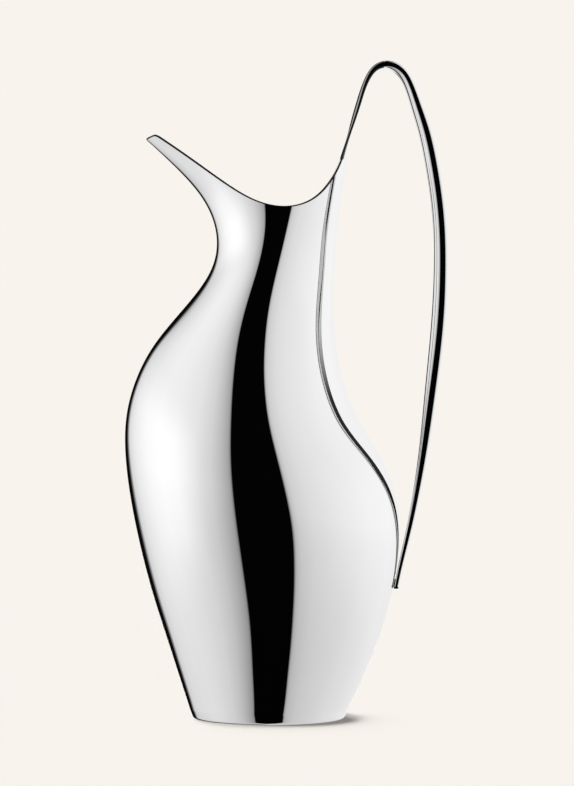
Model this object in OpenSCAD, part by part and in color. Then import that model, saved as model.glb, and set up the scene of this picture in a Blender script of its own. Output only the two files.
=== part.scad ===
// Mirror-polished water pitcher: a body of three courses of sheet in two halves each, on a
// domed base, with a beak spout and a hollow loop handle that grows out of the mouth's back.
// Millimetres. +Z is up, the origin is the centre of the standing ring, the spout points to -X.

/* [Body] */
// Thickness of the body's sheet metal
wall_t = 1.2; // [0.8:0.1:1.6]
// Width of the solder line between the two body halves
seam_w = 0.8; // [0.4:0.1:1.2]
// Facets along half of a body section
body_cols = 26; // [16:2:32]
// Facets up each of the body's three courses of sheet
course_rows = 14; // [8:1:16]

/* [Base] */
// Outer radius of the body where it meets the base
base_r = 34.5; // [34.3:0.1:34.7]
// Radius of the rounded edge under the body
corner_r = 1.6; // [1.4:0.2:3]
// Inner radius of the flat standing ring
ring_in_r = 27; // [24:0.5:28]
// Height of the raised centre above the table
recess_h = 2.4; // [1:0.2:3]

/* [Handle] */
// Thickness of the handle's two strips where the handle is thick enough to be hollow
handle_skin = 0.9; // [0.5:0.1:1.2]
// How strongly the sides of the handle's section curve
side_turn = 0.35; // [0.2:0.05:1]
// Crispness of the edges beside the handle's inner face
inner_full = 0.16; // [0.1:0.01:0.18]
// Facets along each strip's section
handle_cols = 9; // [5:2:13]
// Facets along the handle
handle_rows = 48; // [32:4:72]
// Height of the flat cut end of the handle's foot above the table
foot_z = 56.4; // [55:0.2:58]

/* [Hidden] */

silver = [0.86, 0.86, 0.87];
bright = [0.93, 0.93, 0.94];
solder = [0.70, 0.71, 0.73];
fit_gap = 0.05;             // clearance between neighbouring pieces
seam_half = seam_w / 2;

// Body sections, one row every body_step of height from body_z0:
// front x, back x, half depth, crest shift, fullness, beak narrowing.
body_z0 = -12;
body_step = 16;
body_table = [
    [-29.7, 26.0, 28.7, 0, 0, 0],
    [-34.5, 34.5, 34.5, 0, 0, 0],
    [-39.7, 42.1, 40.3, -0.8, -0.004, 0],
    [-44.8, 48.4, 45.8, -1.0, -0.006, 0],
    [-50.0, 53.2, 50.7, -1.1, -0.009, 0],
    [-54.4, 56.2, 54.3, -1.4, -0.008, 0],
    [-58.1, 57.2, 56.6, -1.6, -0.009, 0],
    [-61.0, 54.9, 57.2, -1.3, -0.018, 0],
    [-62.7, 48.1, 55.6, 0.8, -0.026, 0],
    [-62.3, 38.3, 51.5, 4.0, -0.031, 0],
    [-58.0, 32.4, 45.4, 4.4, -0.029, 0],
    [-49.7, 29.3, 38.3, 2.7, -0.028, 0],
    [-36.4, 28.3, 31.8, -0.9, -0.036, 0],
    [-25.0, 28.7, 27.4, -2.6, -0.042, 0],
    [-23.1, 29.8, 25.8, -1.1, -0.036, 0.03],
    [-29.5, 31.8, 24.6, 0, -0.020, 0.14],
    [-44.2, 34.0, 22.0, 0, 0, 0.33],
    [-61.7, 36.1, 18.5, 0, 0, 0.50],
    [-79.7, 38.4, 15.0, 0, 0, 0.60]
];

// Rim heights seen from the side, one every rim_step of a root scale that runs from the
// handle (0) to the beak (1): x = rim_back_x - rim_run * scale^2.
rim_back_x = 35.3;
rim_run = 89;
rim_step = 0.1;
rim_table = [
    280, 266, 255, 244.2, 235, 227.5, 223.4, 222.8, 226.4, 235.1, 246.2, 258, 271.5, 287
];
lip_x = -49.7;              // where the beak's end turns over
lip_z = 254.9;
lip_slope = 0.43;
lip_round = 0.5;

// Handle stations from the mouth over the top and down to the foot:
// x, z, thickness, width, camber (edges towards the outside of the loop), and the lean of the
// sides towards the inner face as a share of the thickness.
handle_table = [
    [32.35, 236, 1.2, 21.4, 3.4, 0.25],
    [33.4, 244, 1.2, 19.2, 2.1, 0.25],
    [34.4, 252, 1.3, 15.0, 0.3, 0.25],
    [36.5, 260.5, 1.5, 13.2, -0.6, 0.25],
    [39.1, 269, 1.8, 12.9, -0.7, 0.25],
    [41.9, 277, 2.1, 13.2, -0.4, 0.25],
    [46.1, 283.8, 2.8, 13.6, -0.2, 0.25],
    [52.5, 285.4, 3.4, 14.2, 0, 0.25],
    [58.5, 281.9, 3.8, 14.7, 0.2, 0.25],
    [62.1, 275, 4.2, 15.1, 0.3, 0.25],
    [65.2, 266, 4.8, 15.5, 0.3, 0.3],
    [68.8, 255, 5.5, 15.7, 0.3, 0.3],
    [71.6, 242, 5.9, 15.8, 0.2, 0.35],
    [73.9, 228, 6.0, 15.6, 0.1, 0.35],
    [75.2, 213, 6.1, 15.2, 0.2, 0.35],
    [75.2, 197, 6.1, 14.6, 0.5, 0.35],
    [74.5, 180, 6.0, 13.8, 0.8, 0.3],
    [73.0, 162, 5.8, 12.8, 0.8, 0.25],
    [70.8, 143, 5.2, 11.6, 0.7, 0.1],
    [68.4, 122, 4.4, 10.3, 0.3, 0],
    [65.3, 102, 3.4, 8.8, 0.15, 0],
    [61.5, 82, 2.6, 7.0, 0, 0],
    [56.7, 62, 2.0, 5.2, 0, 0],
    [53.4, 42, 1.8, 4.0, 0, 0],
    [51.2, 22, 1.6, 3.0, 0, 0]
];
thin_share = 0.42;          // thickest skin as a share of the handle's thickness
handle_last = 22.28;        // station at the foot's cut end
root_z = 244;               // where the body's back becomes the handle
root_gap = 0.3;             // half the height of the solder at the handle's root
seam_angle = 7;             // half the section angle that each handle seam covers
cap_t = 0.8;                // thickness of the foot's end cap
base_h = body_z0 + body_step;   // height where the body meets the base
base_lean = 20;             // the body's lean at the base
base_seam_t = 0.4;

small_step = 0.01;          // step for measuring a curve's direction

// ---- smooth curves -------------------------------------------------------------------------

function control(table, i) =
    i <= 0 || i >= len(table) - 1 ? table[i]
    : table[i] - (table[i - 1] - 2 * table[i] + table[i + 1]) / 6;

function controls(table) = [for (i = [0:len(table) - 1]) control(table, i)];

// Uniform cubic B-spline through the table's values, at station t.
function curve(c, t) =
    let (i = max(1, min(len(c) - 3, floor(t))), f = t - i, g = 1 - f)
    (g ^ 3 * c[i - 1] + (3 * f ^ 3 - 6 * f ^ 2 + 4) * c[i]
        + (3 * g ^ 3 - 6 * g ^ 2 + 4) * c[i + 1] + f ^ 3 * c[i + 2]) / 6;

body_ctl = controls(body_table);
rim_ctl = controls(rim_table);
handle_ctl = controls(handle_table);

// ---- body ----------------------------------------------------------------------------------

function body_row(z) = curve(body_ctl, (z - body_z0) / body_step);

// Outer point of a section: angle 0 is the back, 180 the front.
function section(r, a) =
    let (mid = (r[0] + r[1]) / 2, half = (r[1] - r[0]) / 2)
    [mid + half * cos(a) + r[3] * sin(a) ^ 2,
     r[2] * (sin(a) + r[4] * sin(3 * a)) / (1 - r[4]) * (1 + r[5] * cos(a))];

function body_point(a, z) = section(body_row(z), a);

// Smaller of two values, with a rounded change-over.
function soft_min(p, q, e) = (p + q - sqrt((p - q) ^ 2 + 4 * e ^ 2)) / 2;

function rim_height(x) =
    let (w = sqrt(max(0, rim_back_x - x) / rim_run))
    soft_min(curve(rim_ctl, w / rim_step + 1), lip_z + lip_slope * (x - lip_x), lip_round);

rim_low = 200;              // heights that every column's rim crossing lies between
rim_high = 256;

// Height where the column at angle a reaches the rim, by halving.
function rim_cross(a, low, high, n = 22) =
    n == 0 ? (low + high) / 2
    : let (z = (low + high) / 2)
      rim_height(body_point(a, z)[0]) > z ? rim_cross(a, z, high, n - 1)
      : rim_cross(a, low, z, n - 1);

function column_top(a) =
    let (top = rim_cross(a, rim_low, rim_high)) a < 90 ? min(top, root_z - root_gap) : top;

// Inner point at the same height, so that the sheet keeps its thickness on leaning walls.
function inner_point(a, z) =
    let (d = small_step, p = body_point(a, z),
         along = (body_point(a + d, z) - body_point(a - d, z)) / (2 * d),
         up = (body_point(a, z + d) - body_point(a, z - d)) / (2 * d),
         flat = norm(along),
         lean = (along[0] * up[1] - along[1] * up[0]) / flat)
    p - [along[1], -along[0]] / flat * wall_t * sqrt(1 + lean ^ 2);

course_z = [72, 136];       // heights where the courses of sheet meet

// Height of row i in course c of the column whose top is given.
function row_z(c, i, top) =
    let (low = c == 0 ? base_h : course_z[c - 1] + fit_gap / 2,
         high = c == len(course_z) ? top : course_z[c] - fit_gap / 2)
    low + (high - low) * i / course_rows;

// One column of points of a course, on the outside or the inside of the sheet.
function body_column(c, j, side, inside) =
    let (a = 180 * j / body_cols, top = column_top(a), edge = j == 0 || j == body_cols)
    [for (i = [0:course_rows])
        let (z = row_z(c, i, top), p = inside ? inner_point(a, z) : body_point(a, z))
        [p[0], side * (edge ? seam_half : p[1]), z]];

// Closed solid between two grids of points that match one to one.
module thick_sheet(outer, inner, flip) {
    m = len(outer);
    n = len(outer[0]);
    back = m * n;
    points = [each [for (col = outer) each col], each [for (col = inner) each col]];
    skins = [for (j = [0:m - 2]) for (i = [0:n - 2])
        let (k = j * n + i)
        each [[k, k + 1, k + n + 1], [k, k + n + 1, k + n],
              [back + k, back + k + n + 1, back + k + 1],
              [back + k, back + k + n, back + k + n + 1]]];
    sides = [for (j = [0, m - 1]) for (i = [0:n - 2])
        let (k = j * n + i, turn = j == 0)
        each strip(k, k + 1, back, turn)];
    ends = [for (i = [0, n - 1]) for (j = [0:m - 2])
        let (k = j * n + i, turn = i != 0)
        each strip(k, k + n, back, turn)];
    faces = [each skins, each sides, each ends];
    polyhedron(points, flip ? [for (f = faces) [f[2], f[1], f[0]]] : faces, convexity = 10);
}

// Two triangles that close an edge between the outer and the inner grid.
function strip(p, q, back, turn) =
    turn ? [[p, back + q, q], [p, back + p, back + q]]
    : [[p, q, back + q], [p, back + q, back + p]];

// Half of course c: side is -1 on the left and 1 on the right.
module course_half(c, side) {
    thick_sheet(
        [for (j = [0:body_cols]) body_column(c, j, side, false)],
        [for (j = [0:body_cols]) body_column(c, j, side, true)],
        side > 0);
}

module body_lower_left() {
    color(bright) course_half(0, -1);
}

module body_lower_right() {
    color(bright) course_half(0, 1);
}

module body_belly_left() {
    color(bright) course_half(1, -1);
}

module body_belly_right() {
    color(bright) course_half(1, 1);
}

module body_neck_left() {
    color(bright) course_half(2, -1);
}

module body_neck_right() {
    color(bright) course_half(2, 1);
}

// Strip of the wall's profile that fills the slot between the halves.
module wall_seam(a) {
    top = column_top(a);
    heights = [for (c = [0:len(course_z)]) for (i = [0:course_rows - 1]) row_z(c, i, top), top];
    rotate([90, 0, 0])
        linear_extrude(seam_w - 2 * fit_gap, center = true)
            polygon([
                for (z = heights) [body_point(a, z)[0], z],
                for (i = [len(heights) - 1:-1:0]) [inner_point(a, heights[i])[0], heights[i]]
            ]);
}

module front_seam() {
    color(solder) wall_seam(180);
}

module back_seam() {
    color(solder) wall_seam(0);
}

// ---- base ----------------------------------------------------------------------------------

seam_low = base_h - base_seam_t;
edge_top_r = base_r - base_seam_t * tan(base_lean);
arc_top = corner_r * (1 - sin(base_lean));
arc_mid_r = base_r - (base_h - arc_top) * tan(base_lean) - corner_r * cos(base_lean);

dome_h = 0.6;               // rise of the raised floor towards its centre
bend_shift = 0.5;           // keeps the sheet's thickness at the two bends of the recess

module base_disc() {
    inner_r = corner_r - wall_t;
    color(silver) rotate_extrude($fn = 96)
        polygon([
            [edge_top_r, seam_low],
            each [for (a = [base_lean:10:90])
                [arc_mid_r + corner_r * cos(a), corner_r - corner_r * sin(a)]],
            [ring_in_r, 0],
            [ring_in_r - recess_h, recess_h],
            [0, recess_h + dome_h],
            [0, recess_h + dome_h + wall_t],
            [ring_in_r - recess_h + bend_shift, recess_h + wall_t],
            [ring_in_r + bend_shift, wall_t],
            each [for (a = [90:-10:base_lean])
                [arc_mid_r + inner_r * cos(a), corner_r - inner_r * sin(a)]],
            [edge_top_r - wall_t, seam_low]
        ]);
}

module base_seam() {
    color(solder) translate([0, 0, seam_low + fit_gap])
        rotate_extrude($fn = 96)
            translate([base_r - wall_t, 0])
                square([wall_t, base_seam_t - 2 * fit_gap]);
}

// ---- handle --------------------------------------------------------------------------------

// Point of the handle's section at station k: angle 0 and 180 are the edges, 90 the outside.
function handle_point(k, a, inside, cut_z = undef) =
    let (d = small_step, r = curve(handle_ctl, k),
         ahead = curve(handle_ctl, k + d) - curve(handle_ctl, k - d),
         along = [ahead[0], ahead[1]] / norm([ahead[0], ahead[1]]),
         out = [-along[1], along[0]],
         skin = inside ? min(handle_skin, thin_share * r[2]) : 0,
         slim = r[2] / r[3],
         full = (1 - side_turn * slim) / (9 + 3 * side_turn * slim),
         crisp = sin(a) < 0 ? inner_full : full,
         lean = 1 - 2 * r[5] * slim * max(0, -sin(a)) ^ 2,
         v = (r[3] / 2 - skin) * (cos(a) - full * cos(3 * a)) / (1 - full) * lean,
         u = (r[2] / 2 - skin) * (sin(a) + crisp * sin(3 * a)) / (1 - crisp)
            + r[4] * (2 * v / r[3]) ^ 2,
         p = [r[0], r[1]] + out * u,
         slide = is_undef(cut_z) ? 0 : (cut_z - p[1]) / along[1])
    [p[0] + along[0] * slide, v, p[1] + along[1] * slide];

handle_first = 1.06;        // stations just inside the two cut ends
handle_end = handle_last - 0.04;
shell_top_z = root_z + root_gap;
shell_foot_z = foot_z + cap_t + fit_gap;

// One ring of part of the section; the first and the last ring are cut level.
function handle_line(a, inside) =
    [for (i = [0:handle_rows])
        let (k = handle_first + (handle_end - handle_first) * i / handle_rows)
        handle_point(k, a, inside,
            i == 0 ? shell_top_z : i == handle_rows ? shell_foot_z : undef)];

module handle_strip(from, to, steps) {
    angles = [for (j = [0:steps]) from + (to - from) * j / steps];
    thick_sheet(
        [for (a = angles) handle_line(a, false)],
        [for (a = angles) handle_line(a, true)],
        true);
}

module handle_outer_shell() {
    color(bright) handle_strip(seam_angle, 180 - seam_angle, handle_cols);
}

module handle_inner_shell() {
    color(silver) handle_strip(180 + seam_angle, 360 - seam_angle, handle_cols);
}

seam_play = 0.4;            // section angle left free beside each handle seam

module handle_seam_left() {
    color(solder)
        handle_strip(180 - seam_angle + seam_play, 180 + seam_angle - seam_play, 2);
}

module handle_seam_right() {
    color(solder) handle_strip(-seam_angle + seam_play, seam_angle - seam_play, 2);
}

// Level slice of the body's back wall, between the body and the handle's first ring.
module handle_root_joint() {
    steps = 8;
    reach = root_half_angle();
    z = root_z - root_gap;
    color(solder) translate([0, 0, z + fit_gap])
        linear_extrude(2 * root_gap - 2 * fit_gap)
            polygon([
                for (j = [-steps:steps]) section(body_row(z), reach * j / steps),
                for (j = [steps:-1:-steps]) inner_point(reach * j / steps, z)
            ]);
}

// Section angle at which the rim passes the handle's root.
function root_half_angle(low = 1, high = 60, n = 16) =
    n == 0 ? low
    : let (a = (low + high) / 2)
      rim_height(body_point(a, root_z - root_gap)[0]) > root_z - root_gap
        ? root_half_angle(a, high, n - 1) : root_half_angle(low, a, n - 1);

cap_station = handle_last - 0.02;

module handle_foot_cap() {
    color(solder) translate([0, 0, foot_z])
        linear_extrude(cap_t)
            polygon([for (a = [0:15:345])
                let (p = handle_point(cap_station, a, false, foot_z)) [p[0], p[1]]]);
}

station_step = 20;          // height between the handle's lowest stations
pad_low = foot_z + 0.6;
pad_high = foot_z + 4.4;
pad_w = 2.6;

function foot_inner_x(z) =
    let (k = cap_station - (z - foot_z) / station_step) handle_point(k, 270, false)[0];

module handle_foot_joint() {
    heights = [for (i = [0:4]) pad_low + (pad_high - pad_low) * i / 4];
    color(solder) rotate([90, 0, 0])
        linear_extrude(pad_w, center = true)
            polygon([
                each [for (z = heights) [body_point(0, z)[0] + fit_gap, z]],
                each [for (i = [4:-1:0]) [foot_inner_x(heights[i]) - fit_gap, heights[i]]]
            ]);
}

body_lower_left();
body_lower_right();
body_belly_left();
body_belly_right();
body_neck_left();
body_neck_right();
front_seam();
back_seam();
base_disc();
base_seam();
handle_outer_shell();
handle_inner_shell();
handle_seam_left();
handle_seam_right();
handle_root_joint();
handle_foot_cap();
handle_foot_joint();
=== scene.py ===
"""Looks for the mirror-polished water pitcher.

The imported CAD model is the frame. Every visible piece is rebuilt here at high resolution from the
same curves as the CAD source, with normals worked out from the surface itself, because a mirror
shows every facet. Lengths in the tables are millimetres; meshes are made in metres.
"""
import math

import bpy
import numpy as np
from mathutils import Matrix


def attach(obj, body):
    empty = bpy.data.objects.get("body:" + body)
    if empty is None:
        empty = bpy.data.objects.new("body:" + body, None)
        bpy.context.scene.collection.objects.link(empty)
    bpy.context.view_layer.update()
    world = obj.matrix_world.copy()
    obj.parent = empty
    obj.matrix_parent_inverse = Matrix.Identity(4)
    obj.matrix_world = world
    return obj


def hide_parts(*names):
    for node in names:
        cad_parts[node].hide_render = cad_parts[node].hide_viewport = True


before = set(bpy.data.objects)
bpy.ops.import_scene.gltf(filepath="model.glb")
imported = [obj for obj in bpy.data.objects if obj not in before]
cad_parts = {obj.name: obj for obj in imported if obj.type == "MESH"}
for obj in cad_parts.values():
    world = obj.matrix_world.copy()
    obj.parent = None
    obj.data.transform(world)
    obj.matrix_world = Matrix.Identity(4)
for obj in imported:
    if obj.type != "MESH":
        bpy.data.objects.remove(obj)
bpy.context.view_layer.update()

MM = 0.001
FIT = 0.9997                # keeps the smooth surfaces inside the faceted CAD model's box
SCENE = bpy.context.scene

# ---- camera --------------------------------------------------------------------------------

CAMERA_DISTANCE = 1420
CAMERA_X = 7.96
CAMERA_Z = 141.97
VIEW_HEIGHT = 343.9         # what the picture's long side spans at the pitcher
SENSOR = 36                 # millimetres
CAMERA_FAR = 50             # metres


def make_camera():
    data = bpy.data.cameras.new("camera")
    data.sensor_width = SENSOR
    data.lens = SENSOR * CAMERA_DISTANCE / VIEW_HEIGHT
    data.clip_end = CAMERA_FAR
    camera = bpy.data.objects.new("camera", data)
    camera.location = (CAMERA_X * MM, -CAMERA_DISTANCE * MM, CAMERA_Z * MM)
    camera.rotation_euler = (math.radians(90), 0, 0)
    SCENE.collection.objects.link(camera)
    SCENE.camera = camera


make_camera()
SCENE.view_settings.view_transform = "Standard"

# ---- curves shared with the CAD source -----------------------------------------------------

# Body sections every BODY_STEP of height from BODY_Z0:
# front x, back x, half depth, crest shift, fullness, beak narrowing.
BODY_Z0 = -12
BODY_STEP = 16
BODY_TABLE = [
    [-29.7, 26.0, 28.7, 0, 0, 0],
    [-34.5, 34.5, 34.5, 0, 0, 0],
    [-39.7, 42.1, 40.3, -0.8, -0.004, 0],
    [-44.8, 48.4, 45.8, -1.0, -0.006, 0],
    [-50.0, 53.2, 50.7, -1.1, -0.009, 0],
    [-54.4, 56.2, 54.3, -1.4, -0.008, 0],
    [-58.1, 57.2, 56.6, -1.6, -0.009, 0],
    [-61.0, 54.9, 57.2, -1.3, -0.018, 0],
    [-62.7, 48.1, 55.6, 0.8, -0.026, 0],
    [-62.3, 38.3, 51.5, 4.0, -0.031, 0],
    [-58.0, 32.4, 45.4, 4.4, -0.029, 0],
    [-49.7, 29.3, 38.3, 2.7, -0.028, 0],
    [-36.4, 28.3, 31.8, -0.9, -0.036, 0],
    [-25.0, 28.7, 27.4, -2.6, -0.042, 0],
    [-23.1, 29.8, 25.8, -1.1, -0.036, 0.03],
    [-29.5, 31.8, 24.6, 0, -0.020, 0.14],
    [-44.2, 34.0, 22.0, 0, 0, 0.33],
    [-61.7, 36.1, 18.5, 0, 0, 0.50],
    [-79.7, 38.4, 15.0, 0, 0, 0.60],
]

# Rim heights every RIM_STEP of a root scale from the handle to the beak.
RIM_BACK_X = 35.3
RIM_RUN = 89
RIM_STEP = 0.1
RIM_TABLE = [
    280, 266, 255, 244.2, 235, 227.5, 223.4, 222.8, 226.4, 235.1, 246.2, 258, 271.5, 287,
]
LIP_X = -49.7
LIP_Z = 254.9
LIP_SLOPE = 0.43
LIP_ROUND = 0.5

# Handle stations: x, z, thickness, width, camber, bevel of the sides towards the inner face.
HANDLE_TABLE = [
    [32.35, 236, 1.2, 21.4, 3.4, 0.25],
    [33.4, 244, 1.2, 19.2, 2.1, 0.25],
    [34.4, 252, 1.3, 15.0, 0.3, 0.25],
    [36.5, 260.5, 1.5, 13.2, -0.6, 0.25],
    [39.1, 269, 1.8, 12.9, -0.7, 0.25],
    [41.9, 277, 2.1, 13.2, -0.4, 0.25],
    [46.1, 283.8, 2.8, 13.6, -0.2, 0.25],
    [52.5, 285.4, 3.4, 14.2, 0, 0.25],
    [58.5, 281.9, 3.8, 14.7, 0.2, 0.25],
    [62.1, 275, 4.2, 15.1, 0.3, 0.25],
    [65.2, 266, 4.8, 15.5, 0.3, 0.3],
    [68.8, 255, 5.5, 15.7, 0.3, 0.3],
    [71.6, 242, 5.9, 15.8, 0.2, 0.35],
    [73.9, 228, 6.0, 15.6, 0.1, 0.35],
    [75.2, 213, 6.1, 15.2, 0.2, 0.35],
    [75.2, 197, 6.1, 14.6, 0.5, 0.35],
    [74.5, 180, 6.0, 13.8, 0.8, 0.3],
    [73.0, 162, 5.8, 12.8, 0.8, 0.25],
    [70.8, 143, 5.2, 11.6, 0.7, 0.1],
    [68.4, 122, 4.4, 10.3, 0.3, 0],
    [65.3, 102, 3.4, 8.8, 0.15, 0],
    [61.5, 82, 2.6, 7.0, 0, 0],
    [56.7, 62, 2.0, 5.2, 0, 0],
    [53.4, 42, 1.8, 4.0, 0, 0],
    [51.2, 22, 1.6, 3.0, 0, 0],
]
HANDLE_LAST = 22.28
HANDLE_SIDE_TURN = 0.35     # how strongly the section's sides curve
HANDLE_INNER_FULL = 0.16    # crispness of the edges beside the inner face
HANDLE_SKIN = 0.9

WALL = 1.2
BASE_H = BODY_Z0 + BODY_STEP
BASE_R = 34.5
BASE_LEAN = math.radians(20)
BASE_SEAM = 0.4
CORNER_R = 1.6
RING_IN_R = 27
RECESS_H = 2.4
ROOT_Z = 244
ROOT_GAP = 0.3
SHELL_TOP = ROOT_Z - ROOT_GAP
FOOT_Z = 56.4
CAP_T = 0.8
SHELL_FOOT = FOOT_Z + CAP_T


def controls(table):
    d = np.array(table, float)
    c = d.copy()
    c[1:-1] = d[1:-1] - (d[:-2] - 2 * d[1:-1] + d[2:]) / 6
    return c


def curve(c, t):
    """Uniform cubic B-spline at stations t."""
    t = np.asarray(t, float)
    i = np.clip(np.floor(t).astype(int), 1, len(c) - 3)
    f = t - i
    g = 1 - f
    weights = (g ** 3, 3 * f ** 3 - 6 * f ** 2 + 4, 3 * g ** 3 - 6 * g ** 2 + 4, f ** 3)
    total = 0
    for k, w in enumerate(weights):
        w = w / 6
        total = total + (w[..., None] if c.ndim == 2 else w) * c[i - 1 + k]
    return total


BODY_CTL = controls(BODY_TABLE)
RIM_CTL = controls(RIM_TABLE)
HANDLE_CTL = controls(HANDLE_TABLE)


def unit(v):
    return v / np.linalg.norm(v, axis=-1, keepdims=True)


# ---- body surface --------------------------------------------------------------------------

def body_point(a, z):
    """Outer surface at section angle a (0 is the back, pi the front) and height z."""
    a, z = np.broadcast_arrays(np.asarray(a, float), np.asarray(z, float))
    r = curve(BODY_CTL, (z - BODY_Z0) / BODY_STEP)
    s, c = np.sin(a), np.cos(a)
    mid = (r[..., 0] + r[..., 1]) / 2
    half = (r[..., 1] - r[..., 0]) / 2
    x = mid + half * c + r[..., 3] * s ** 2
    y = r[..., 2] * (s + r[..., 4] * np.sin(3 * a)) / (1 - r[..., 4]) * (1 + r[..., 5] * c)
    return np.stack([x, y, z], -1)


def body_normal(a, z):
    d = 1e-4
    along = body_point(a + d, z) - body_point(a - d, z)
    up = body_point(a, z + d) - body_point(a, z - d)
    return unit(np.cross(along, up))


def rim_height(x):
    w = np.sqrt(np.maximum(0, RIM_BACK_X - x) / RIM_RUN)
    p = curve(RIM_CTL, w / RIM_STEP + 1)
    q = LIP_Z + LIP_SLOPE * (x - LIP_X)
    return (p + q - np.sqrt((p - q) ** 2 + 4 * LIP_ROUND ** 2)) / 2


def rim_under(x, r):
    """The rim line moved square to itself into the wall by r."""
    d = 0.01
    slope = (rim_height(x + d) - rim_height(x - d)) / (2 * d)
    return rim_height(x) - r * np.sqrt(1 + slope ** 2)


RIM_LOW = 200.0             # the rim lies between these heights
RIM_HIGH = 256.0
HALVINGS = 40


def column_top(a):
    """Height at which the columns at angles a end, just under the rounded lip."""
    low = np.full(a.shape, RIM_LOW)
    high = np.full(a.shape, RIM_HIGH)
    for _ in range(HALVINGS):
        z = (low + high) / 2
        inside = rim_under(body_point(a, z)[..., 0], WALL / 2) > z
        low = np.where(inside, z, low)
        high = np.where(inside, high, z)
    return (low + high) / 2


ROOT_SEARCH = (0.01, 1.2, 2400)     # angles from, to and how many


def root_angle():
    """Angle at which the lip passes the handle's root."""
    angles = np.linspace(*ROOT_SEARCH)
    return float(angles[np.argmin(np.abs(column_top(angles) - SHELL_TOP))])


# ---- meshes --------------------------------------------------------------------------------

def face_normal(corners):
    """Area-weighted unit normal of a polygon."""
    after = np.roll(corners, -1, 0)
    return unit(np.cross(corners, after).sum(0) + 1e-15)


def make_piece(name, points, normals, smooth, flat, materials, tags=None):
    """Object from points in millimetres. Smooth faces use the given normals; flat faces get
    points of their own, so that no normal is shared across an edge."""
    points, normals = list(points), list(normals)
    faces = list(smooth)
    for face in flat:
        corners = np.array([points[v] for v in face])
        normal = face_normal(corners - corners[0])
        faces.append(list(range(len(points), len(points) + len(face))))
        points.extend(corners)
        normals.extend([normal] * len(face))
    mesh = bpy.data.meshes.new(name)
    mesh.from_pydata((np.array(points) * MM * FIT).tolist(), [], faces)
    mesh.polygons.foreach_set("use_smooth", [True] * len(faces))
    mesh.normals_split_custom_set_from_vertices(np.array(normals).tolist())
    for material in materials:
        mesh.materials.append(material)
    if tags is not None:
        mesh.polygons.foreach_set("material_index", tags + [0] * len(flat))
    piece = bpy.data.objects.new(name, mesh)
    piece.visible_diffuse = False       # the metal throws no light back onto the table
    SCENE.collection.objects.link(piece)
    return piece


def grid_faces(m, n, first=0, flip=False):
    """Quads of an m by n grid of points, column by column."""
    faces = []
    for j in range(m - 1):
        for i in range(n - 1):
            k = first + j * n + i
            quad = [k, k + n, k + n + 1, k + 1]
            faces.append(quad[::-1] if flip else quad)
    return faces


def finish_piece(piece, slot, *nodes):
    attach(piece, "root")
    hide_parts(*nodes)


# ---- materials -----------------------------------------------------------------------------

def new_material(name):
    material = bpy.data.materials.new(name)
    material.use_nodes = True
    nodes = material.node_tree.nodes
    shader = nodes["Principled BSDF"]
    return material, nodes, material.node_tree.links, shader


def polished_metal(name, tint, rough, haze, ripple):
    """Mirror metal: soft patches of polishing haze, hairline wiping marks and a faint ripple."""
    material, nodes, links, shader = new_material(name)
    shader.inputs["Metallic"].default_value = 1.0
    place = nodes.new("ShaderNodeTexCoord")
    patches = nodes.new("ShaderNodeTexNoise")
    patches.inputs["Scale"].default_value = 34
    patches.inputs["Detail"].default_value = 5
    links.new(place.outputs["Object"], patches.inputs["Vector"])
    shade = nodes.new("ShaderNodeMapRange")
    shade.inputs["From Min"].default_value = 0.35
    shade.inputs["From Max"].default_value = 0.75
    shade.inputs["To Min"].default_value = rough
    shade.inputs["To Max"].default_value = rough + haze
    links.new(patches.outputs["Fac"], shade.inputs["Value"])
    links.new(shade.outputs["Result"], shader.inputs["Roughness"])
    tone = nodes.new("ShaderNodeMix")
    tone.data_type = "RGBA"
    tone.inputs["A"].default_value = (*tint, 1)
    tone.inputs["B"].default_value = (tint[0] * 0.985, tint[1] * 0.985, tint[2] * 0.99, 1)
    links.new(patches.outputs["Fac"], tone.inputs["Factor"])
    links.new(tone.outputs["Result"], shader.inputs["Base Color"])
    stretch = nodes.new("ShaderNodeMapping")
    stretch.inputs["Scale"].default_value = (900, 900, 60)
    stretch.inputs["Rotation"].default_value = (0.3, 0.2, 0.0)
    links.new(place.outputs["Object"], stretch.inputs["Vector"])
    marks = nodes.new("ShaderNodeTexNoise")
    marks.inputs["Scale"].default_value = 1
    marks.inputs["Detail"].default_value = 2
    links.new(stretch.outputs["Vector"], marks.inputs["Vector"])
    bump = nodes.new("ShaderNodeBump")
    bump.inputs["Strength"].default_value = ripple
    bump.inputs["Distance"].default_value = 0.000002
    links.new(marks.outputs["Fac"], bump.inputs["Height"])
    links.new(bump.outputs["Normal"], shader.inputs["Normal"])
    return material


def paint_dark_reflection(name):
    """Near-black metal for a painted dark reflection line along edges; tone and roughness vary at
    random.
    """
    material, nodes, links, shader = new_material(name)
    shader.inputs["Metallic"].default_value = 1.0
    place = nodes.new("ShaderNodeTexCoord")
    painted_line_noise = nodes.new("ShaderNodeTexNoise")
    painted_line_noise.inputs["Scale"].default_value = 1600
    painted_line_noise.inputs["Detail"].default_value = 4
    links.new(place.outputs["Object"], painted_line_noise.inputs["Vector"])
    tone = nodes.new("ShaderNodeMix")
    tone.data_type = "RGBA"
    tone.inputs["A"].default_value = (0.012, 0.012, 0.012, 1)
    tone.inputs["B"].default_value = (0.05, 0.05, 0.05, 1)
    links.new(painted_line_noise.outputs["Fac"], tone.inputs["Factor"])
    links.new(tone.outputs["Result"], shader.inputs["Base Color"])
    shade = nodes.new("ShaderNodeMapRange")
    shade.inputs["To Min"].default_value = 0.15
    shade.inputs["To Max"].default_value = 0.35
    links.new(painted_line_noise.outputs["Fac"], shade.inputs["Value"])
    links.new(shade.outputs["Result"], shader.inputs["Roughness"])
    return material


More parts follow.
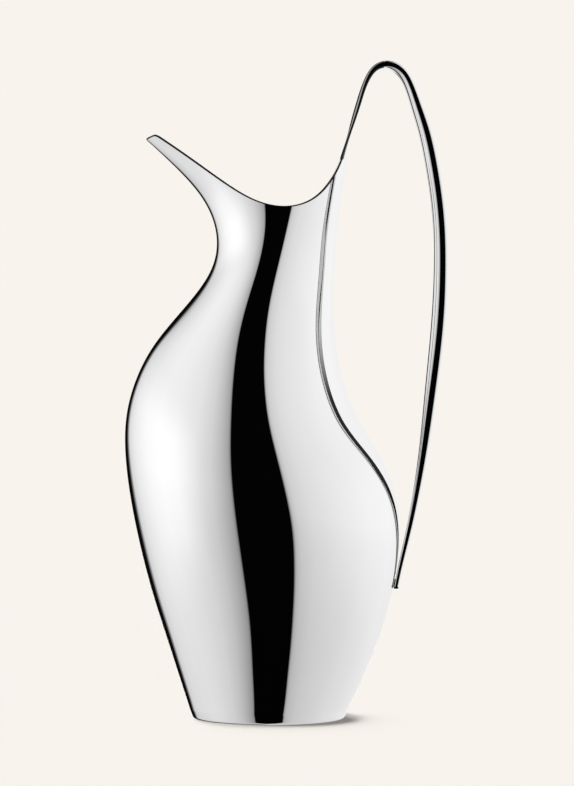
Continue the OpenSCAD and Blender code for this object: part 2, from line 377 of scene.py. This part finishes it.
def paint_shade_by_height(name, tones):
    """Mirror metal with painted shade: a ramp over height darkens its colour, standing in for
    dark reflections; pairs of height and tone, lowest first."""
    material = polished_metal(name, (1, 1, 1), 0.03, 0.03, 0.08)
    nodes, links = material.node_tree.nodes, material.node_tree.links
    shader = nodes["Principled BSDF"]
    old = shader.inputs["Base Color"].links[0]
    haze = old.from_socket
    place = nodes.new("ShaderNodeTexCoord")
    split = nodes.new("ShaderNodeSeparateXYZ")
    links.new(place.outputs["Object"], split.inputs["Vector"])
    share = nodes.new("ShaderNodeMapRange")
    share.inputs["From Min"].default_value = tones[0][0] * MM
    share.inputs["From Max"].default_value = tones[-1][0] * MM
    links.new(split.outputs["Z"], share.inputs["Value"])
    ramp = nodes.new("ShaderNodeValToRGB")
    stops = ramp.color_ramp.elements
    span = tones[-1][0] - tones[0][0]
    for index, (height, tone) in enumerate(tones):
        at = (height - tones[0][0]) / span
        stop = stops[index] if index < 2 else stops.new(at)
        stop.position = at
        stop.color = (tone, tone, tone, 1)
    links.new(share.outputs["Result"], ramp.inputs["Fac"])
    both = nodes.new("ShaderNodeMix")
    both.data_type = "RGBA"
    both.blend_type = "MULTIPLY"
    both.inputs["Factor"].default_value = 1
    links.new(haze, both.inputs["A"])
    links.new(ramp.outputs["Color"], both.inputs["B"])
    links.new(both.outputs["Result"], shader.inputs["Base Color"])
    return material


def turned_metal(name, tint, rough):
    """Satin metal with the fine rings that a lathe leaves."""
    material, nodes, links, shader = new_material(name)
    shader.inputs["Metallic"].default_value = 1.0
    shader.inputs["Base Color"].default_value = (*tint, 1)
    place = nodes.new("ShaderNodeTexCoord")
    rings = nodes.new("ShaderNodeTexWave")
    rings.wave_type = "RINGS"
    rings.rings_direction = "Z"
    rings.inputs["Scale"].default_value = 700
    rings.inputs["Distortion"].default_value = 1.5
    rings.inputs["Detail"].default_value = 3
    links.new(place.outputs["Object"], rings.inputs["Vector"])
    shade = nodes.new("ShaderNodeMapRange")
    shade.inputs["To Min"].default_value = rough
    shade.inputs["To Max"].default_value = rough + 0.12
    links.new(rings.outputs["Fac"], shade.inputs["Value"])
    links.new(shade.outputs["Result"], shader.inputs["Roughness"])
    bump = nodes.new("ShaderNodeBump")
    bump.inputs["Strength"].default_value = 0.15
    bump.inputs["Distance"].default_value = 0.00002
    links.new(rings.outputs["Fac"], bump.inputs["Height"])
    links.new(bump.outputs["Normal"], shader.inputs["Normal"])
    return material


mirror = polished_metal("mirror_polish", (0.985, 0.985, 0.985), 0.012, 0.02, 0.05)
handle_mirror = polished_metal("handle_polish", (0.985, 0.985, 0.985), 0.012, 0.02, 0.05)
joint_mirror = polished_metal("joint_polish", (0.975, 0.975, 0.98), 0.02, 0.03, 0.08)
# Painted dark reflection line for the rim's cut edge and the handle's edges.
edge_painted_reflection = paint_dark_reflection("edge_painted_reflection")
# Painted shade by height on the loop's inner face and on the rising part's sides.
loop_inside_painted_shade = paint_shade_by_height("loop_inside_painted_shade", [(60, 0.02), (158, 0.03), (182, 0.55), (280, 0.75)])
rise_side_painted_shade = paint_shade_by_height("rise_side_painted_shade", [(230, 0.25), (262, 0.4), (290, 0.3)])
inside_satin = polished_metal("inside_polish", (0.96, 0.96, 0.96), 0.06, 0.08, 0.2)
base_satin = turned_metal("base_turning", (0.88, 0.88, 0.88), 0.2)

# ---- body pieces ---------------------------------------------------------------------------

SEAM_ANGLE = 0.012
ROOT_ANGLE = root_angle()
ROOT_COLUMNS = 14
HALF_COLUMNS = 96
BODY_ROWS = 240
LIP_STEPS = 10
BACK_SIDE = 1               # angle up to which the wall is kept under the handle's root


def body_strip(angles):
    """Points, normals and size of a grid of wall columns: up the outside, over the lip or the
    root's flat edge, and down the inside."""
    m = len(angles)
    turn = np.abs(angles)
    top = column_top(angles)
    top = np.where(turn < BACK_SIDE, np.minimum(top, SHELL_TOP), top)
    at_root = turn < ROOT_ANGLE - 1e-6
    top = np.where(at_root, SHELL_TOP, top)
    t = np.linspace(0, 1, BODY_ROWS)
    z = BASE_H + (top[:, None] - BASE_H) * t[None, :]
    a = np.repeat(angles[:, None], BODY_ROWS, 1)
    outer = body_point(a, z)
    normal = body_normal(a, z)
    inner = outer - normal * WALL
    # the lip runs square to the rim line
    d = 1e-3
    near, far = angles - d, angles + d
    along = body_point(far, column_top(far)) - body_point(near, column_top(near))
    n_top = normal[:, -1]
    away = unit(np.cross(n_top, along))
    away = away * np.sign(away[:, 2:3])
    arc = np.linspace(0, math.pi, LIP_STEPS + 1)[1:-1]
    middle = outer[:, -1] - n_top * WALL / 2
    cos, sin = np.cos(arc)[None, :, None], np.sin(arc)[None, :, None]
    lift = np.where(at_root, 0.0, 1.0)[:, None, None]
    lip = middle[:, None] + WALL / 2 * (n_top[:, None] * cos + away[:, None] * sin * lift)
    lip_n = unit(n_top[:, None] * cos * lift + away[:, None] * sin + 1e-9)
    points = np.concatenate([outer, lip, inner[:, ::-1]], 1)
    normals = np.concatenate([normal, lip_n, -normal[:, ::-1]], 1)
    return points.reshape(-1, 3), normals.reshape(-1, 3), m, points.shape[1]


def body_piece(name, angles, slot, nodes, skin):
    """Part of the body's wall: polished outside, satin inside, with a painted dark reflection line
    on the rim's cut edge.
    """
    points, normals, m, n = body_strip(angles)
    smooth = grid_faces(m, n)
    outside = BODY_ROWS - 1
    edge = LIP_STEPS // 2
    lip_in = LIP_STEPS - edge
    # The outer half of the lip gets the painted dark reflection line (material 2), except at the
    # handle's root.
    column = [0] * outside + [2] * edge + [0] * lip_in + [1] * (n - 1 - outside - LIP_STEPS)
    tags = []
    for j in range(m - 1):
        root = abs((angles[j] + angles[j + 1]) / 2) < ROOT_ANGLE
        tags += [0 if root and tag == 2 else tag for tag in column]
    flat = []
    for j in range(m - 1):      # bottom edge
        k = j * n
        flat.append([k, k + n - 1, k + 2 * n - 1, k + n])
    for j, turn in ((0, False), (m - 1, True)):     # the two long cut edges
        for i in range(n // 2):
            k, q = j * n + i, j * n + n - 1 - i
            if q - k < 2:
                break
            quad = [k, k + 1, q - 1, q] if q - k > 2 else [k, k + 1, q]
            flat.append(quad[::-1] if turn else quad)
    piece = make_piece(name, points, normals, smooth, flat, [skin, inside_satin, edge_painted_reflection], tags)
    finish_piece(piece, slot, *nodes)


def half_angles():
    """Angles over one half, with one column exactly at the handle's root."""
    back = np.linspace(SEAM_ANGLE, ROOT_ANGLE, ROOT_COLUMNS)
    front = np.linspace(ROOT_ANGLE, math.pi - SEAM_ANGLE, HALF_COLUMNS)
    return np.concatenate([back, front[1:]])


body_piece("body_right", half_angles(), "body_polish",
           ["body_lower_right", "body_belly_right", "body_neck_right"], mirror)
body_piece("body_left", -half_angles()[::-1], "body_polish",
           ["body_lower_left", "body_belly_left", "body_neck_left"], mirror)
body_piece("back_line", np.linspace(-SEAM_ANGLE, SEAM_ANGLE, 3), "solder", ["back_seam"],
           joint_mirror)
body_piece("front_line", np.linspace(math.pi - SEAM_ANGLE, math.pi + SEAM_ANGLE, 3), "solder",
           ["front_seam"], joint_mirror)

# ---- base ----------------------------------------------------------------------------------

RING_STEPS = 192
SHARP = math.cos(math.radians(35))  # corners that turn more than this stay sharp


def turned_piece(name, profile, slot, node, materials, starts=(0,)):
    """Revolve of a closed profile of (radius, height), smooth between its sharp corners. Each
    material begins at the profile index given in starts."""
    profile = np.array(profile, float)
    count = len(profile)
    ahead = np.roll(profile, -1, 0) - profile
    side = unit(np.stack([ahead[:, 1], -ahead[:, 0]], -1))
    angles = np.linspace(0, 2 * math.pi, RING_STEPS, endpoint=False)
    cos, sin = np.cos(angles), np.sin(angles)
    points, normals, faces, tags = [], [], [], []
    for i in range(count):
        k = (i + 1) % count
        start = side[i] + side[i - 1] if side[i] @ side[i - 1] > SHARP else side[i]
        end = side[i] + side[k] if side[i] @ side[k] > SHARP else side[i]
        first = len(points)
        for (r, z), (nr, nz) in ((profile[i], unit(start)), (profile[k], unit(end))):
            points.extend(np.stack([r * cos, r * sin, np.full(RING_STEPS, z)], -1))
            normals.extend(np.stack([nr * cos, nr * sin, np.full(RING_STEPS, nz)], -1))
        for s in range(RING_STEPS):
            t = (s + 1) % RING_STEPS
            faces.append([first + s, first + t, first + RING_STEPS + t, first + RING_STEPS + s])
            tags.append(sum(i >= begin for begin in starts) - 1)
    piece = make_piece(name, points, normals, faces, [], materials, tags)
    finish_piece(piece, slot, node)


SEAM_LOW = BASE_H - BASE_SEAM
EDGE_TOP_R = BASE_R - BASE_SEAM * math.tan(BASE_LEAN)
ARC_TOP = CORNER_R * (1 - math.sin(BASE_LEAN))
ARC_MID_R = BASE_R - (BASE_H - ARC_TOP) * math.tan(BASE_LEAN) - CORNER_R * math.cos(BASE_LEAN)
AXIS_R = 0.02               # tiny centre hole that keeps the revolve's faces four-sided


def arc_points(radius, start, end, steps):
    return [
        (ARC_MID_R + radius * math.cos(a), CORNER_R - radius * math.sin(a))
        for a in np.linspace(start, end, steps)
    ]


UNDER_FROM = 11             # where the profile's underside and its outer edge begin
OUTSIDE_FROM = 17


def base_profile():
    """From the outer top edge down, in under the base, and back over its inside."""
    quarter = math.pi / 2
    under = [(RING_IN_R, 0), (RING_IN_R - 0.6, 0.25), (RING_IN_R - RECESS_H + 0.4, RECESS_H - 0.3),
             (RING_IN_R - RECESS_H - 0.6, RECESS_H), (12, RECESS_H + 0.35),
             (AXIS_R, RECESS_H + 0.6)]
    over = [(AXIS_R, RECESS_H + 0.6 + WALL), (RING_IN_R - RECESS_H + 0.5, RECESS_H + WALL),
            (RING_IN_R + 0.5, WALL)]
    return (
        [(EDGE_TOP_R, SEAM_LOW)] + arc_points(CORNER_R, BASE_LEAN, quarter, 13) + under
        + over + arc_points(CORNER_R - WALL, quarter, BASE_LEAN, 7)
        + [(EDGE_TOP_R - WALL, SEAM_LOW)]
    )


turned_piece("base_cup", base_profile()[::-1], "base_polish", "base_disc",
             [inside_satin, base_satin, mirror], (0, UNDER_FROM, OUTSIDE_FROM))
turned_piece(
    "base_line",
    [(BASE_R - WALL, SEAM_LOW), (EDGE_TOP_R, SEAM_LOW), (BASE_R, BASE_H), (BASE_R - WALL, BASE_H)],
    "solder", "base_seam", [joint_mirror])

# ---- handle --------------------------------------------------------------------------------

HANDLE_ROWS = 420
SHELL_COLUMNS = 40
EDGE_COLUMNS = 9
SEAM_SPAN = math.radians(7)
SHELL_LAST = HANDLE_LAST - 0.04     # stations at which the shell and the foot end
FOOT_LAST = HANDLE_LAST - 0.02
THIN_SHARE = 0.42           # the skin is never thicker than this share of the handle


def handle_point(k, a, skin=0.0, cut=None):
    """Handle surface at station k and section angle a; skin moves it inwards."""
    k, a = np.broadcast_arrays(np.asarray(k, float), np.asarray(a, float))
    d = 0.01
    r = curve(HANDLE_CTL, k)
    ahead = (curve(HANDLE_CTL, k + d) - curve(HANDLE_CTL, k - d))[..., :2]
    along = unit(ahead)
    out = np.stack([-along[..., 1], along[..., 0]], -1)
    inset = np.minimum(skin, THIN_SHARE * r[..., 2])
    slim = r[..., 2] / r[..., 3]
    turn = HANDLE_SIDE_TURN * slim
    full = (1 - turn) / (9 + 3 * turn)
    crisp = np.where(np.sin(a) < 0, HANDLE_INNER_FULL, full)
    lean = 1 - 2 * r[..., 5] * slim * np.maximum(0, -np.sin(a)) ** 2
    v = (r[..., 3] / 2 - inset) * (np.cos(a) - full * np.cos(3 * a)) / (1 - full) * lean
    u = (r[..., 2] / 2 - inset) * (np.sin(a) + crisp * np.sin(3 * a)) / (1 - crisp)
    u = u + r[..., 4] * (2 * v / r[..., 3]) ** 2
    p = r[..., :2] + out * u[..., None]
    if cut is not None:
        p = p + along * ((cut - p[..., 1]) / along[..., 1])[..., None]
    return np.stack([p[..., 0], v, p[..., 1]], -1)


def handle_normal(k, a):
    d = 1e-4
    around = handle_point(k, a + d) - handle_point(k, a - d)
    forward = handle_point(k + d, a) - handle_point(k - d, a)
    return unit(np.cross(around, forward))


def handle_grid(start, end, columns, skin):
    """Points and normals from the root to the foot, with both ends cut level."""
    angles = np.linspace(start, end, columns)
    k = np.linspace(1, SHELL_LAST, HANDLE_ROWS)
    grid_k, grid_a = np.meshgrid(k, angles)
    points = handle_point(grid_k, grid_a, skin)
    points[:, 0] = handle_point(grid_k[:, 0], grid_a[:, 0], skin, SHELL_TOP)
    points[:, -1] = handle_point(grid_k[:, -1], grid_a[:, -1], skin, SHELL_FOOT)
    return points, handle_normal(grid_k, grid_a)


def handle_piece(name, start, end, columns, slot, node, materials, pick=None):
    """Part of the handle's shell. pick gives a face's material number from its section angle
    and x."""
    outer, normal = handle_grid(start, end, columns, 0)
    inner, _ = handle_grid(start, end, columns, HANDLE_SKIN)
    m, n = columns, HANDLE_ROWS
    back = m * n
    points = np.concatenate([outer.reshape(-1, 3), inner.reshape(-1, 3)])
    normals = np.concatenate([normal.reshape(-1, 3), -normal.reshape(-1, 3)])
    smooth = grid_faces(m, n) + grid_faces(m, n, back, True)
    flat = []
    for j, turn in ((0, True), (m - 1, False)):
        for i in range(n - 1):
            k = j * n + i
            quad = [k, k + 1, back + k + 1, back + k]
            flat.append(quad[::-1] if turn else quad)
    for i, turn in ((0, False), (n - 1, True)):
        for j in range(m - 1):
            k = j * n + i
            quad = [k, k + n, back + k + n, back + k]
            flat.append(quad[::-1] if turn else quad)
    tags = [0] * len(smooth)
    if pick is not None:
        middles = np.linspace(start, end, columns)[:-1] + (end - start) / (columns - 1) / 2
        for j, middle in enumerate(middles):
            for i in range(n - 1):
                tags[j * (n - 1) + i] = pick(middle, outer[j, i, 0])
    piece = make_piece(name, points, normals, smooth, flat, materials, tags)
    finish_piece(piece, slot, node)


# The values below place the handle's painted dark reflection line and its painted shade.
ROOT_END_X = 36             # x at which the root's dark line, the rising part and the top end
RISE_END_X = 50
LOOP_FROM_X = 56
# Degrees round the section from the handle's edge.
ROOT_LINE = (36, 60)
RISE_SIDE = 50
LOOP_FACE = 58


def outer_skin(angle, x):
    """A painted dark reflection line carries the rim's edge up onto the root, and the rising part's
    sides get painted shade.
    """
    side = math.degrees(min(angle, math.pi - angle))
    if x < ROOT_END_X and ROOT_LINE[0] < side < ROOT_LINE[1]:
        return 1
    return 2 if x < RISE_END_X and side < RISE_SIDE else 0


def inner_skin(angle, x):
    """The rising part's edges carry the painted dark reflection line, and the loop's inner face has
    painted shade.
    """
    side = math.degrees(min(angle - math.pi, 2 * math.pi - angle))
    if x < RISE_END_X:
        return 2 if side < RISE_SIDE else 0
    return 1 if x > LOOP_FROM_X and side > LOOP_FACE else 0


# The shells carry the painted dark reflection line and the painted shade that outer_skin and
# inner_skin pick.
handle_piece("handle_outer", SEAM_SPAN, math.pi - SEAM_SPAN, SHELL_COLUMNS, "handle_polish",
             "handle_outer_shell", [handle_mirror, edge_painted_reflection, rise_side_painted_shade], outer_skin)
handle_piece("handle_inner", math.pi + SEAM_SPAN, 2 * math.pi - SEAM_SPAN, SHELL_COLUMNS,
             "handle_polish", "handle_inner_shell", [handle_mirror, loop_inside_painted_shade, edge_painted_reflection],
             inner_skin)
handle_piece("handle_edge_left", math.pi - SEAM_SPAN, math.pi + SEAM_SPAN, EDGE_COLUMNS,
             "solder", "handle_seam_left", [joint_mirror])
handle_piece("handle_edge_right", -SEAM_SPAN, SEAM_SPAN, EDGE_COLUMNS, "solder",
             "handle_seam_right", [joint_mirror])


def foot_cap():
    """Flat end of the handle with a small rounded edge."""
    count = 72
    angles = np.linspace(0, 2 * math.pi, count, endpoint=False)
    # height, inset and how far the normal turns down
    levels = [(SHELL_FOOT, 0.0, 0.0), (FOOT_Z + 0.25, 0.0, 0.2), (FOOT_Z + 0.07, 0.07, 0.75),
              (FOOT_Z, 0.25, 1.0)]
    points = np.concatenate(
        [handle_point(FOOT_LAST, angles, inset, z) for z, inset, _ in levels])
    side = handle_normal(FOOT_LAST, angles)
    down = np.array([0.0, 0.0, -1.0])
    normals = np.concatenate([unit(side * (1 - tilt) + down * tilt) for _, _, tilt in levels])
    faces = []
    for level in range(len(levels) - 1):
        for i in range(count):
            j = (i + 1) % count
            low, high = level * count, (level + 1) * count
            faces.append([low + i, high + i, high + j, low + j])
    last = (len(levels) - 1) * count
    ends = [list(range(last, last + count)), list(range(count))[::-1]]
    piece = make_piece("handle_foot_end", points, normals, faces, ends, [handle_mirror])
    finish_piece(piece, "handle_polish", "handle_foot_cap")


foot_cap()


def slab(name, ring_low, ring_high, slot, node, material):
    """Closed prism between two matching rings, flat shaded."""
    count = len(ring_low)
    points = np.concatenate([ring_low, ring_high])
    faces = [
        [i, (i + 1) % count, count + (i + 1) % count, count + i] for i in range(count)
    ]
    faces.append(list(range(count))[::-1])
    faces.append(list(range(count, 2 * count)))
    piece = make_piece(name, points, points, [], faces, [material])
    finish_piece(piece, slot, node)


JOINT_SPAN = 0.96           # share of the root's width that the solder fills
JOINT_INSET = 0.15
JOINT_DOWN = 0.2
JOINT_UP = 0.3


def root_joint():
    """Solder between the two sheets at the handle's root, just inside the surface."""
    arc = np.linspace(-ROOT_ANGLE * JOINT_SPAN, ROOT_ANGLE * JOINT_SPAN, 40)
    surface, normal = body_point(arc, SHELL_TOP), body_normal(arc, SHELL_TOP)
    outer = surface - normal * JOINT_INSET
    inner = surface - normal * (WALL - JOINT_INSET)
    ring = np.concatenate([outer, inner[::-1]])
    low, high = ring.copy(), ring.copy()
    low[:, 2] = SHELL_TOP - JOINT_DOWN
    high[:, 2] = SHELL_TOP + JOINT_UP
    slab("handle_root_line", low, high, "solder", "handle_root_joint", joint_mirror)


root_joint()


PAD_LOW = 0.7               # heights of the pad above the handle's foot
PAD_HIGH = 4.3
PAD_GAP = 0.03              # between the pad and the metal on either side
PAD_HALF = 1.25             # half its width
STATION_HEIGHT = 20         # height of one station near the foot


def foot_joint():
    """Solder pad between the handle's foot and the body."""
    count = 24
    heights = np.linspace(FOOT_Z + PAD_LOW, FOOT_Z + PAD_HIGH, count)
    wall = body_point(0, heights)[:, 0] + PAD_GAP
    station = FOOT_LAST - (heights - FOOT_Z) / STATION_HEIGHT
    inner = handle_point(station, 1.5 * math.pi)[:, 0] - PAD_GAP
    ring = np.concatenate([
        np.stack([wall, np.zeros(count), heights], -1),
        np.stack([inner, np.zeros(count), heights], -1)[::-1],
    ])
    low, high = ring.copy(), ring.copy()
    low[:, 1] = -PAD_HALF
    high[:, 1] = PAD_HALF
    slab("handle_foot_pad", low, high, "solder", "handle_foot_joint", joint_mirror)


foot_joint()

# ---- studio --------------------------------------------------------------------------------

# Brightness round the horizon as the polished metal sees it: degrees from the camera's side,
# minus to the left, and the display brightness there.
TENT = [
    (-180, 0.93), (-176, 0.90), (-173, 0.20), (-168, 0.03), (-152, 0.03), (-148, 0.45),
    (-143, 0.80), (-130, 0.87), (-110, 0.93), (-95, 0.95), (-80, 0.94), (-60, 0.90),
    (-45, 0.83), (-35, 0.745), (-28, 0.66), (-25.5, 0.60), (-24.5, 0.012), (26, 0.012),
    (27, 0.74), (32, 0.82), (45, 0.87), (60, 0.895), (80, 0.915), (100, 0.94), (130, 0.95),
    (160, 0.93), (180, 0.93),
]
CREAM = (248, 243, 237)
DARK_STUDIO = 0.002
# Behind the pitcher the tent opens onto the dark studio above these heights, given as the sine
# of the angle above the table, and beyond these angles from the camera's side.
BACK_EDGE = (0.40, 0.55)
BACK_SIDES = (135, 155)
LOW_DIM = 0.3               # how much the tent dims from table height straight down
# A wide softbox on each side lifts the tent's light: by how much, where they start, in degrees
# from the camera's side, and their lower and upper edges, as the sine of the angle above the table.
SOFTBOX_RIGHT = 0.05
SOFTBOX_LEFT = 0.16
SOFTBOX_SIDES = (50, 80)
SOFTBOX_CHANGE = 0.2        # sine of the angle over which the right one passes into the left one
SOFTBOX_LOW = (-0.5, -0.25)
SOFTBOX_HIGH = (0.5, 0.2)


def to_linear(v):
    return v / 12.92 if v <= 0.04045 else ((v + 0.055) / 1.055) ** 2.4


def make_world():
    world = bpy.data.worlds.new("tent")
    SCENE.world = world
    world.use_nodes = True
    nodes, links = world.node_tree.nodes, world.node_tree.links
    background = nodes["Background"]
    place = nodes.new("ShaderNodeTexCoord")
    split = nodes.new("ShaderNodeSeparateXYZ")
    links.new(place.outputs["Generated"], split.inputs["Vector"])
    front = nodes.new("ShaderNodeMath")
    front.operation = "MULTIPLY"
    front.inputs[1].default_value = -1
    links.new(split.outputs["Y"], front.inputs[0])
    angle = nodes.new("ShaderNodeMath")
    angle.operation = "ARCTAN2"
    links.new(split.outputs["X"], angle.inputs[0])
    links.new(front.outputs[0], angle.inputs[1])
    share = nodes.new("ShaderNodeMapRange")
    share.inputs["From Min"].default_value = -math.pi
    share.inputs["From Max"].default_value = math.pi
    links.new(angle.outputs[0], share.inputs["Value"])
    ramp = nodes.new("ShaderNodeValToRGB")
    stops = ramp.color_ramp.elements
    while len(stops) > 1:
        stops.remove(stops[0])
    for index, (degrees, level) in enumerate(TENT):
        at = (degrees + 180) / 360
        stop = stops[0] if index == 0 else stops.new(at)
        stop.position = at
        light = to_linear(level)
        stop.color = (light, light, light, 1)
    links.new(share.outputs["Result"], ramp.inputs["Fac"])

    def step(source, low, high):
        node = nodes.new("ShaderNodeMapRange")
        node.interpolation_type = "SMOOTHSTEP"
        node.inputs["From Min"].default_value = low
        node.inputs["From Max"].default_value = high
        links.new(source, node.inputs["Value"])
        return node.outputs["Result"]

    def combine(operation, first, second):
        node = nodes.new("ShaderNodeMath")
        node.operation = operation
        links.new(first, node.inputs[0])
        links.new(second, node.inputs[1])
        return node.outputs[0]

    turned = nodes.new("ShaderNodeMath")
    turned.operation = "ABSOLUTE"
    links.new(angle.outputs[0], turned.inputs[0])
    behind = step(turned.outputs[0], *(math.radians(side) for side in BACK_SIDES))
    raised = step(split.outputs["Z"], *BACK_EDGE)
    dark = combine("MULTIPLY", behind, raised)
    shut = nodes.new("ShaderNodeMix")
    shut.data_type = "RGBA"
    shut.inputs["B"].default_value = (DARK_STUDIO, DARK_STUDIO, DARK_STUDIO, 1)
    links.new(dark, shut.inputs["Factor"])
    links.new(ramp.outputs["Color"], shut.inputs["A"])
    links.new(shut.outputs["Result"], background.inputs["Color"])
    level = nodes.new("ShaderNodeMapRange")
    level.inputs["From Min"].default_value = -1
    level.inputs["From Max"].default_value = 0
    level.inputs["To Min"].default_value = 1 - LOW_DIM
    level.inputs["To Max"].default_value = 1
    links.new(split.outputs["Z"], level.inputs["Value"])
    beside = step(turned.outputs[0], *(math.radians(side) for side in SOFTBOX_SIDES))
    above = step(split.outputs["Z"], *SOFTBOX_LOW)
    below = step(split.outputs["Z"], *SOFTBOX_HIGH)
    boxes = combine("MULTIPLY", beside, combine("MULTIPLY", above, below))
    amount = nodes.new("ShaderNodeMapRange")
    amount.inputs["From Min"].default_value = SOFTBOX_CHANGE
    amount.inputs["From Max"].default_value = -SOFTBOX_CHANGE
    amount.inputs["To Min"].default_value = SOFTBOX_RIGHT
    amount.inputs["To Max"].default_value = SOFTBOX_LEFT
    links.new(split.outputs["X"], amount.inputs["Value"])
    lift = nodes.new("ShaderNodeMath")
    lift.operation = "MULTIPLY_ADD"
    lift.inputs[2].default_value = 1
    links.new(boxes, lift.inputs[0])
    links.new(amount.outputs["Result"], lift.inputs[1])
    strength = combine("MULTIPLY", level.outputs["Result"], lift.outputs[0])
    links.new(strength, background.inputs["Strength"])
    world.cycles_visibility.diffuse = False


make_world()


def cream(scale=1.0):
    return tuple(to_linear(c / 255) * scale for c in CREAM)


BACKDROP_RADIUS = 12        # metres
FLOOR_SIZE = 30


def make_backdrop():
    """Plain cream surround, seen only by the camera."""
    bpy.ops.mesh.primitive_uv_sphere_add(segments=48, ring_count=24, radius=BACKDROP_RADIUS)
    dome = bpy.context.object
    dome.name = "backdrop"
    material, nodes, links, _ = new_material("backdrop_paper")
    glow = nodes.new("ShaderNodeEmission")
    glow.inputs["Color"].default_value = (*cream(), 1)
    links.new(glow.outputs["Emission"], nodes["Material Output"].inputs["Surface"])
    dome.data.materials.append(material)
    dome.visible_glossy = False
    dome.visible_diffuse = False
    dome.visible_shadow = False
    dome.visible_transmission = False


make_backdrop()

FLOOR_GLOW = 0.26           # share of the table's brightness that is its own glow
FLOOR_ALBEDO = 0.8
FLOOR_NEAR = 0.5            # metres from the middle at which the shaded part starts and ends
FLOOR_FAR = 2.5             # fading out


def make_floor():
    """Pale table that the pitcher stands on: part self-lit paper and part shaded near the
    pitcher, and wholly self-lit further off, where it meets the backdrop."""
    bpy.ops.mesh.primitive_plane_add(size=FLOOR_SIZE)
    floor = bpy.context.object
    floor.name = "floor"
    material, nodes, links, _ = new_material("floor_paper")
    glow = nodes.new("ShaderNodeEmission")
    glow.inputs["Color"].default_value = (*cream(FLOOR_GLOW), 1)
    matt = nodes.new("ShaderNodeBsdfDiffuse")
    matt.inputs["Color"].default_value = (*cream(FLOOR_ALBEDO), 1)
    both = nodes.new("ShaderNodeAddShader")
    links.new(glow.outputs["Emission"], both.inputs[0])
    links.new(matt.outputs["BSDF"], both.inputs[1])
    far = nodes.new("ShaderNodeEmission")
    far.inputs["Color"].default_value = (*cream(), 1)
    place = nodes.new("ShaderNodeTexCoord")
    distance = nodes.new("ShaderNodeVectorMath")
    distance.operation = "LENGTH"
    links.new(place.outputs["Object"], distance.inputs[0])
    fade = nodes.new("ShaderNodeMapRange")
    fade.interpolation_type = "SMOOTHSTEP"
    fade.inputs["From Min"].default_value = FLOOR_NEAR
    fade.inputs["From Max"].default_value = FLOOR_FAR
    links.new(distance.outputs["Value"], fade.inputs["Value"])
    whole = nodes.new("ShaderNodeMixShader")
    links.new(fade.outputs["Result"], whole.inputs["Fac"])
    links.new(both.outputs["Shader"], whole.inputs[1])
    links.new(far.outputs["Emission"], whole.inputs[2])
    links.new(whole.outputs["Shader"], nodes["Material Output"].inputs["Surface"])
    floor.data.materials.append(material)
    floor.visible_glossy = False


make_floor()


# Low, wide, soft lights: name, share of the table's light, tilt from straight down, turn towards
# the camera from light that comes from the left, and width of the lamp, in degrees.
LAMPS = [
    ("left_lamp", 0.6, 71, 24, 36),
    ("back_lamp", 0.4, 78, 74, 23),
]


def make_lamps():
    """The metal doesn't mirror the lamps, and only the base stops their light, so the pitcher
    has a short contact shadow."""
    blockers = bpy.data.collections.new("shadow_blockers")
    blockers.objects.link(bpy.data.objects["base_cup"])
    for name, share, tilt, turn, width in LAMPS:
        data = bpy.data.lights.new(name, "SUN")
        lit = (1 - FLOOR_GLOW) / FLOOR_ALBEDO
        data.energy = share * lit * math.pi / math.cos(math.radians(tilt))
        data.angle = math.radians(width)
        lamp = bpy.data.objects.new(name, data)
        lamp.rotation_euler = (0, math.radians(-tilt), math.radians(-turn))
        lamp.visible_glossy = False
        SCENE.collection.objects.link(lamp)
        lamp.light_linking.blocker_collection = blockers


make_lamps()
